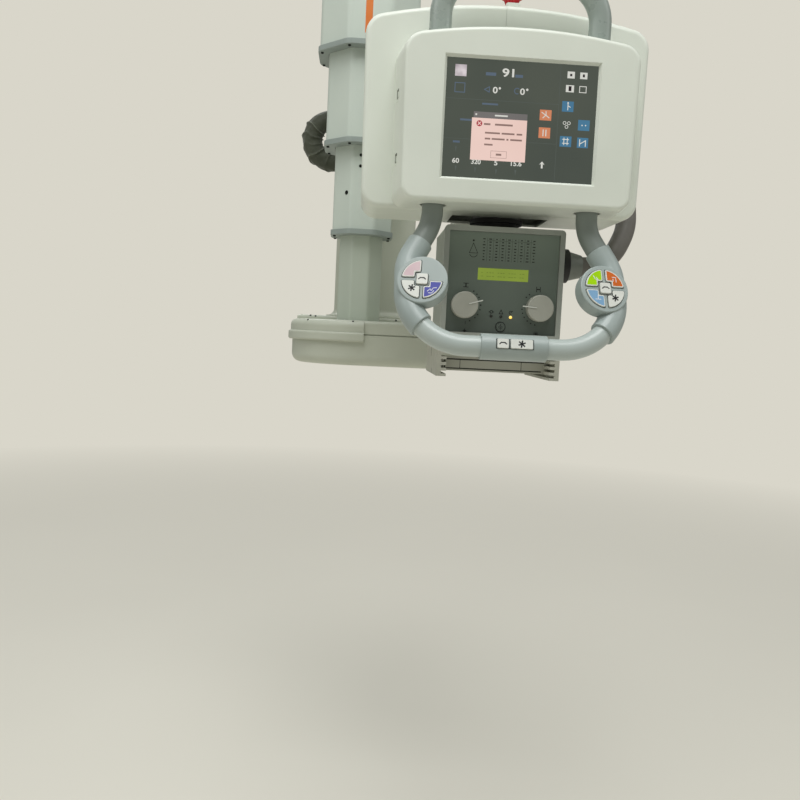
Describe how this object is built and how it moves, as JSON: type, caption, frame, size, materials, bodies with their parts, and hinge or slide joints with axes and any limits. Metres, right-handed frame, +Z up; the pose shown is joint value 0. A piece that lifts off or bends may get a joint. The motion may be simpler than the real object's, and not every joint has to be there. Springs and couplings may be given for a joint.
{
  "type": "ceiling-hung x-ray tube unit",
  "caption": "X-ray tube head with touch console, handle ring and collimator, hung from a telescopic column that slides, swivels and tilts.",
  "frame": {"origin": "on the column axis, in the ceiling plate's upper face", "axes": "+Z up out of the ceiling plate, +X to the right of an operator who faces the console, +Y away from that operator"},
  "size_m": [0.6919, 0.9191, 1.367],
  "materials": {
    "column_paint": "satin light grey-green paint",
    "collar_metal": "satin grey paint",
    "inner_metal": "satin, extruded",
    "guide_plastic": "matte",
    "base_paint": "satin warm grey paint",
    "cover_plastic": "satin, fine grain",
    "bare_metal": "machined",
    "shaft_steel": "ground",
    "bearing_steel": "ground",
    "handle_paint": "satin grey paint",
    "grip_plastic": "satin",
    "pod_plastic": "satin",
    "sleeve_plastic": "satin",
    "key_white": "satin",
    "key_pink": "satin",
    "key_violet": "satin",
    "key_green": "satin",
    "key_orange": "satin",
    "key_blue": "satin",
    "collimator_paint": "satin grey paint",
    "panel_print": "matte printed film",
    "display": "lit liquid-crystal display",
    "screen_glass": "glossy, lit from within",
    "window_plastic": "clear sheet",
    "rail_paint": "satin grey paint",
    "knob_plastic": "satin",
    "nut_plastic": "matte black",
    "gland_plastic": "matte",
    "hose_rubber": "matte",
    "loop_sleeve": "matte sleeve",
    "post_paint": "satin grey paint",
    "stop_red": "glossy"
  },
  "bodies": {
    "carriage": {"ceiling_plate": "column_paint", "outer_tube": "column_paint", "outer_collar": "collar_metal"},
    "stage_2": {"stage_2_tube": "column_paint", "stage_2_collar": "collar_metal", "stage_2_guide": "guide_plastic"},
    "stage_3": {"stage_3_tube": "column_paint", "stage_3_collar": "collar_metal", "stage_3_guide": "guide_plastic"},
    "stage_4": {"inner_column": "inner_metal", "inner_guide": "guide_plastic"},
    "yoke": {"swivel_bearing": "bearing_steel", "base_tray": "base_paint", "base_cover": "base_paint", "base_deck": "base_paint", "upright": "base_paint", "tilt_post": "post_paint", "cable_loop": "loop_sleeve", "cable_bracket": "bare_metal"},
    "head": {"tilt_shaft": "shaft_steel", "head_frame": "bare_metal", "rear_cover_left": "cover_plastic", "rear_cover_right": "cover_plastic", "console_shell": "cover_plastic", "screen": "screen_glass", "tube_housing": "bare_metal", "collimator_flange": "bare_metal", "collimator_housing": "collimator_paint", "collimator_frame": "collimator_paint", "collimator_panel": "panel_print", "collimator_display": "display", "beam_window": "window_plastic", "accessory_rails": "rail_paint", "gland_neck": "gland_plastic", "gland_nut": "nut_plastic", "gland_cone": "gland_plastic", "hose": "hose_rubber", "upper_handle": "handle_paint", "lower_ring": "handle_paint", "left_grip": "grip_plastic", "right_grip": "grip_plastic", "bar_sleeve": "sleeve_plastic", "stop_collar": "stop_red"},
    "knob_left": {"knob_left": "knob_plastic"},
    "knob_right": {"knob_right": "knob_plastic"},
    "lamp_button": {"lamp_button": "panel_print"},
    "stop_button": {"stop_button": "stop_red"},
    "key_left_top": {"key_left_top": "key_pink"},
    "key_left_star": {"key_left_star": "key_white"},
    "key_left_low": {"key_left_low": "key_violet"},
    "key_left_middle": {"key_left_middle": "key_white"},
    "key_right_green": {"key_right_green": "key_green"},
    "key_right_orange": {"key_right_orange": "key_orange"},
    "key_right_blue": {"key_right_blue": "key_blue"},
    "key_right_star": {"key_right_star": "key_white"},
    "key_right_middle": {"key_right_middle": "key_white"},
    "key_bar_small": {"key_bar_small": "key_white"},
    "key_bar_wide": {"key_bar_wide": "key_white"}
  },
  "joints": [
    {"name": "stage_2_slide", "type": "slide", "parent": "carriage", "child": "stage_2", "axis": [0, 0, -1], "range_m": [-0.17, 0.3]},
    {"name": "stage_3_slide", "type": "slide", "parent": "stage_2", "child": "stage_3", "axis": [0, 0, -1], "range_m": [-0.17, 0.3]},
    {"name": "stage_4_slide", "type": "slide", "parent": "stage_3", "child": "stage_4", "axis": [0, 0, -1], "range_m": [-0.17, 0.3]},
    {"name": "swivel", "type": "hinge", "parent": "stage_4", "child": "yoke", "pos_m": [0, 0, -1.321], "axis": [0, 0, 1], "range_deg": [-135, 135]},
    {"name": "tilt", "type": "hinge", "parent": "yoke", "child": "head", "pos_m": [0.249, -0.075, -0.993], "axis": [0, 1, 0], "range_deg": [-120, 120]},
    {"name": "knob_left_turn", "type": "hinge", "parent": "head", "child": "knob_left", "pos_m": [0.1835, -0.49, -1.239], "axis": [0, 1, 0], "range_deg": [-41, 84]},
    {"name": "knob_right_turn", "type": "hinge", "parent": "head", "child": "knob_right", "pos_m": [0.3145, -0.49, -1.239], "axis": [0, 1, 0], "range_deg": [-84, 49]},
    {"name": "lamp_button_press", "type": "slide", "parent": "head", "child": "lamp_button", "axis": [0, 1, 0], "range_m": [0, 0.0012], "stiffness_N_per_m": 400, "springref_m": -0.0005},
    {"name": "stop_button_press", "type": "slide", "parent": "head", "child": "stop_button", "axis": [0, 0, -1], "range_m": [0, 0.004], "stiffness_N_per_m": 1500, "springref_m": -0.001},
    {"name": "key_left_top_press", "type": "slide", "parent": "head", "child": "key_left_top", "axis": [0.145, 0.9158, -0.3746], "range_m": [0, 0.0015], "stiffness_N_per_m": 400, "springref_m": -0.0005},
    {"name": "key_left_star_press", "type": "slide", "parent": "head", "child": "key_left_star", "axis": [0.145, 0.9158, -0.3746], "range_m": [0, 0.0015], "stiffness_N_per_m": 400, "springref_m": -0.0005},
    {"name": "key_left_low_press", "type": "slide", "parent": "head", "child": "key_left_low", "axis": [0.145, 0.9158, -0.3746], "range_m": [0, 0.0015], "stiffness_N_per_m": 400, "springref_m": -0.0005},
    {"name": "key_left_middle_press", "type": "slide", "parent": "head", "child": "key_left_middle", "axis": [0.145, 0.9158, -0.3746], "range_m": [0, 0.0015], "stiffness_N_per_m": 400, "springref_m": -0.0005},
    {"name": "key_right_green_press", "type": "slide", "parent": "head", "child": "key_right_green", "axis": [-0.145, 0.9158, -0.3746], "range_m": [0, 0.0015], "stiffness_N_per_m": 400, "springref_m": -0.0005},
    {"name": "key_right_orange_press", "type": "slide", "parent": "head", "child": "key_right_orange", "axis": [-0.145, 0.9158, -0.3746], "range_m": [0, 0.0015], "stiffness_N_per_m": 400, "springref_m": -0.0005},
    {"name": "key_right_blue_press", "type": "slide", "parent": "head", "child": "key_right_blue", "axis": [-0.145, 0.9158, -0.3746], "range_m": [0, 0.0015], "stiffness_N_per_m": 400, "springref_m": -0.0005},
    {"name": "key_right_star_press", "type": "slide", "parent": "head", "child": "key_right_star", "axis": [-0.145, 0.9158, -0.3746], "range_m": [0, 0.0015], "stiffness_N_per_m": 400, "springref_m": -0.0005},
    {"name": "key_right_middle_press", "type": "slide", "parent": "head", "child": "key_right_middle", "axis": [-0.145, 0.9158, -0.3746], "range_m": [0, 0.0015], "stiffness_N_per_m": 400, "springref_m": -0.0005},
    {"name": "key_bar_small_press", "type": "slide", "parent": "head", "child": "key_bar_small", "axis": [0, 0.9511, -0.309], "range_m": [0, 0.001], "stiffness_N_per_m": 400, "springref_m": -0.0005},
    {"name": "key_bar_wide_press", "type": "slide", "parent": "head", "child": "key_bar_wide", "axis": [0, 0.9511, -0.309], "range_m": [0, 0.001], "stiffness_N_per_m": 400, "springref_m": -0.0005}
  ],
  "couplings": [
    {"joint": "stage_3_slide", "follows": "stage_2_slide", "ratio": 1},
    {"joint": "stage_4_slide", "follows": "stage_2_slide", "ratio": 1}
  ]
}
